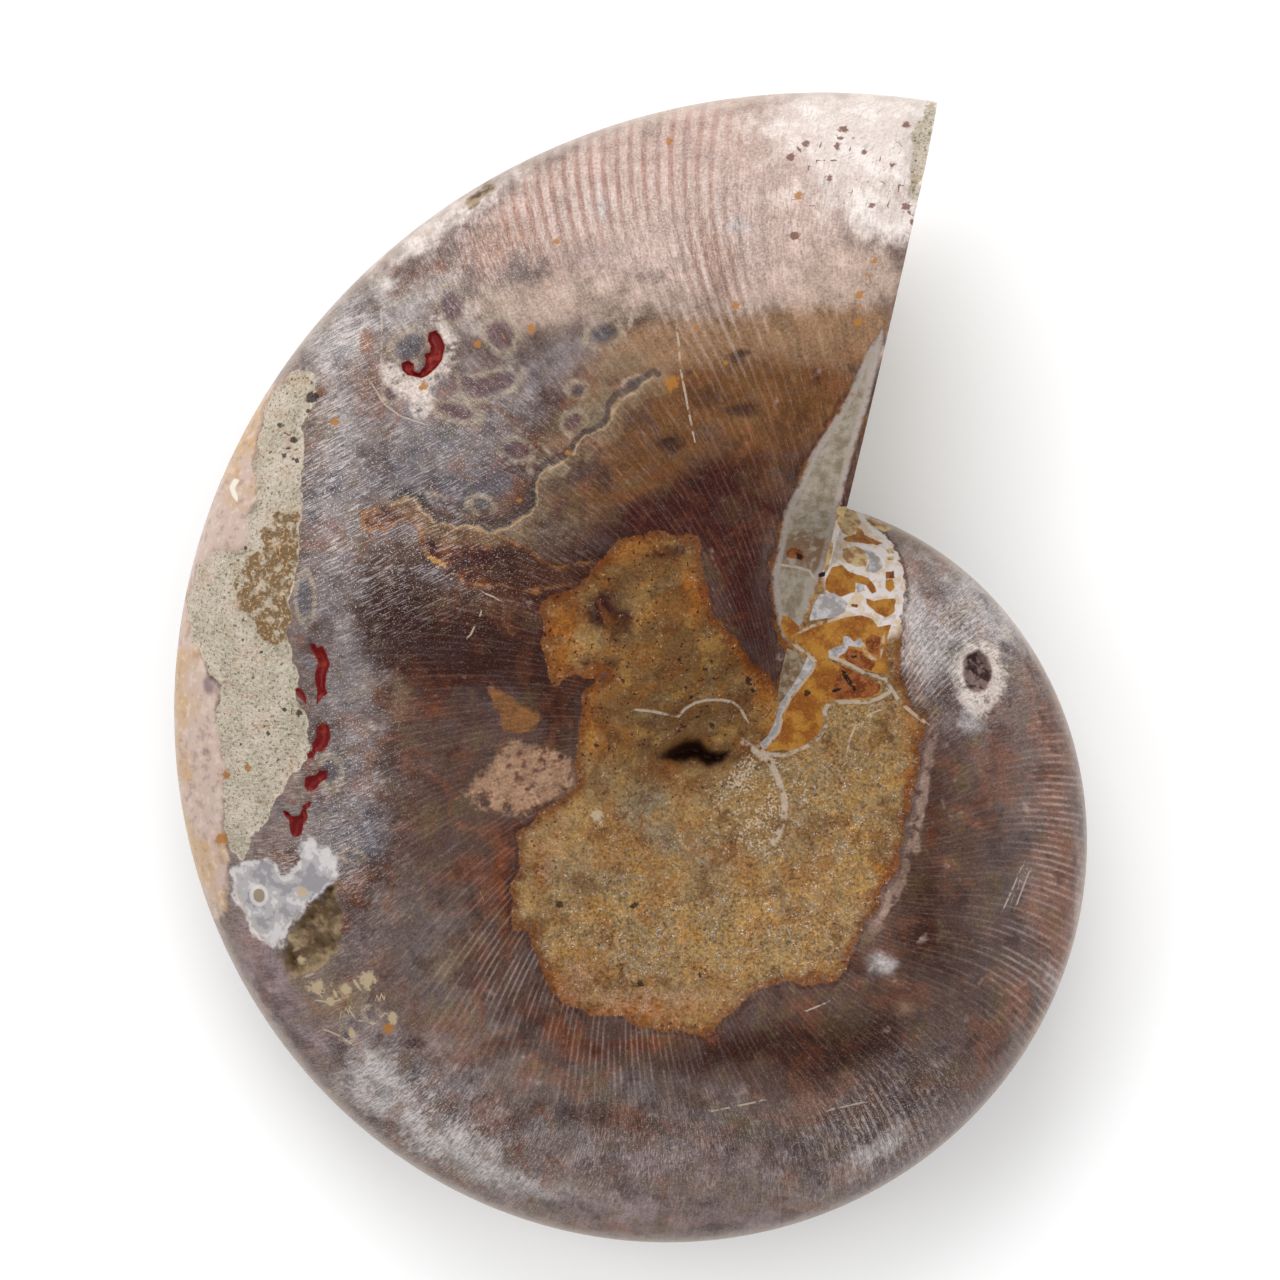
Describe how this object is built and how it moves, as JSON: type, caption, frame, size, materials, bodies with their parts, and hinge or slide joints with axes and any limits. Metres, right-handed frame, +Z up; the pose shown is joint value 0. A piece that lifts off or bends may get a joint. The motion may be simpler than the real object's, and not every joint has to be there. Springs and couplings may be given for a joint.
{
  "type": "polished ammonite",
  "caption": "Coiled fossil shell with rounded, polished flanks, sawn straight across its last whorl, lying flat on its side.",
  "frame": {"origin": "centre of the footprint's bounding box, on the surface that the coil rests on", "axes": "+Z up, out of the flank that shows; +Y along the coil's longest reach, towards the sawn end's outer corner; +X to the right, on the side that the sawn face looks to"},
  "size_m": [0.0594, 0.0748, 0.0198],
  "materials": {
    "polished_shell": "hand polished shell and matrix, brown, purple and ochre, half gloss"
  },
  "bodies": {
    "root": {"ammonite": "polished_shell"}
  },
  "joints": []
}
